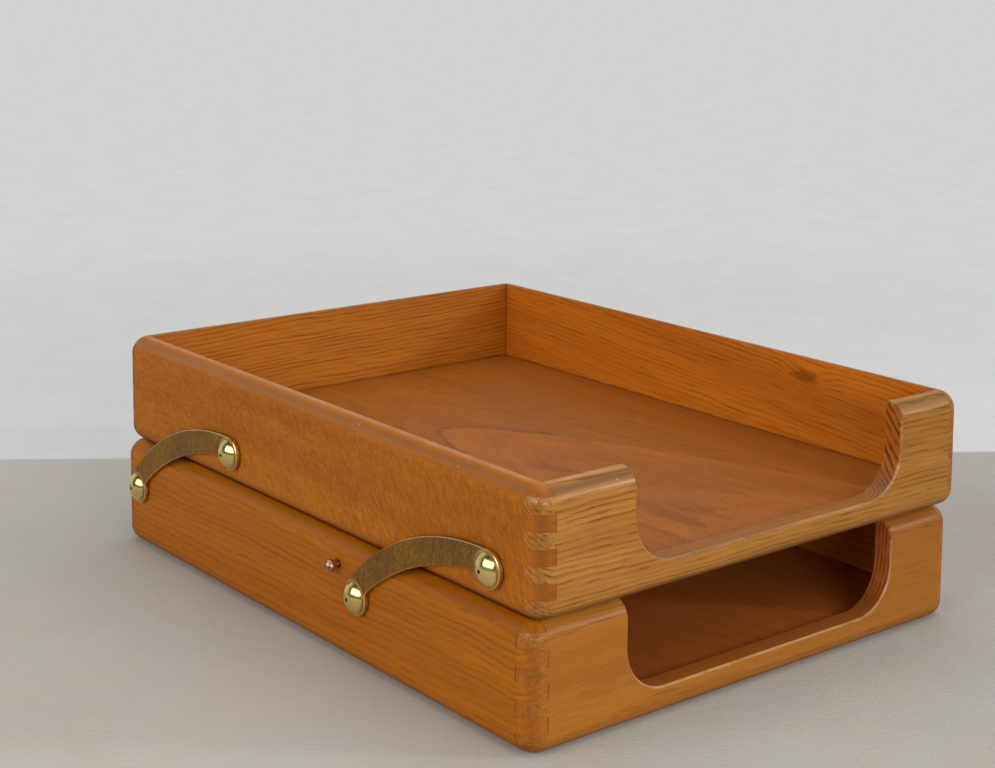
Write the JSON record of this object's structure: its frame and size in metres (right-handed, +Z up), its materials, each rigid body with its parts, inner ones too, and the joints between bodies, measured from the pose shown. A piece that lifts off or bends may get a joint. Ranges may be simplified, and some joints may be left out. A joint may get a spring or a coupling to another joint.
{
  "type": "stacked letter tray",
  "caption": "Two open wooden letter trays with finger-jointed rounded corners and scooped fronts, the upper one swinging up and back on curved brass arms.",
  "frame": {"origin": "middle of the closed stack's footprint, on the surface it stands on", "axes": "+Z up, front and its scoops towards -Y, +X to the right seen from the front"},
  "size_m": [0.2738, 0.347, 0.1112],
  "materials": {
    "side_board_wood": "satin lacquered honey-brown oak, long boards",
    "end_board_wood": "satin lacquered honey-brown oak, front and back boards",
    "floor_panel_wood": "satin lacquered veneered floor panel",
    "arm_brass": "brushed, aged dark brass",
    "screw_brass": "polished brass",
    "washer_brass": "plain brass",
    "stop_pin_metal": "browned, copper-toned"
  },
  "bodies": {
    "lower_tray": {"lower_tray_left_side": "side_board_wood", "lower_tray_right_side": "side_board_wood", "lower_tray_front": "end_board_wood", "lower_tray_back": "end_board_wood", "lower_tray_floor": "floor_panel_wood", "left_front_lower_pivot_screw": "screw_brass", "left_front_lower_washer": "washer_brass", "left_rear_lower_pivot_screw": "screw_brass", "left_rear_lower_washer": "washer_brass", "left_stop_pin": "stop_pin_metal", "right_front_lower_pivot_screw": "screw_brass", "right_front_lower_washer": "washer_brass", "right_rear_lower_pivot_screw": "screw_brass", "right_rear_lower_washer": "washer_brass", "right_stop_pin": "stop_pin_metal"},
    "upper_tray": {"upper_tray_left_side": "side_board_wood", "upper_tray_right_side": "side_board_wood", "upper_tray_front": "end_board_wood", "upper_tray_back": "end_board_wood", "upper_tray_floor": "floor_panel_wood", "left_front_upper_pivot_screw": "screw_brass", "left_front_upper_washer": "washer_brass", "left_rear_upper_pivot_screw": "screw_brass", "left_rear_upper_washer": "washer_brass", "right_front_upper_pivot_screw": "screw_brass", "right_front_upper_washer": "washer_brass", "right_rear_upper_pivot_screw": "screw_brass", "right_rear_upper_washer": "washer_brass"},
    "left_front_arm": {"left_front_arm": "arm_brass"},
    "left_rear_arm": {"left_rear_arm": "arm_brass"},
    "right_front_arm": {"right_front_arm": "arm_brass"},
    "right_rear_arm": {"right_rear_arm": "arm_brass"}
  },
  "joints": [
    {"name": "left_front_arm_swing", "type": "hinge", "parent": "lower_tray", "child": "left_front_arm", "pos_m": [-0.13175, -0.05, 0.0328], "axis": [-1, 0, 0], "range_deg": [0, 75]},
    {"name": "upper_tray_levelling", "type": "hinge", "parent": "left_front_arm", "child": "upper_tray", "pos_m": [-0.13175, -0.1446, 0.0726], "axis": [-1, 0, 0], "range_deg": [-75, 0]},
    {"name": "left_rear_arm_swing", "type": "hinge", "parent": "lower_tray", "child": "left_rear_arm", "pos_m": [-0.13175, 0.1535, 0.0328], "axis": [-1, 0, 0], "range_deg": [0, 75]},
    {"name": "right_front_arm_swing", "type": "hinge", "parent": "lower_tray", "child": "right_front_arm", "pos_m": [0.13175, -0.05, 0.0328], "axis": [-1, 0, 0], "range_deg": [0, 75]},
    {"name": "right_rear_arm_swing", "type": "hinge", "parent": "lower_tray", "child": "right_rear_arm", "pos_m": [0.13175, 0.1535, 0.0328], "axis": [-1, 0, 0], "range_deg": [0, 75]}
  ],
  "couplings": [
    {"joint": "upper_tray_levelling", "follows": "left_front_arm_swing", "ratio": -1},
    {"joint": "left_rear_arm_swing", "follows": "left_front_arm_swing", "ratio": 1},
    {"joint": "right_front_arm_swing", "follows": "left_front_arm_swing", "ratio": 1},
    {"joint": "right_rear_arm_swing", "follows": "left_front_arm_swing", "ratio": 1}
  ]
}
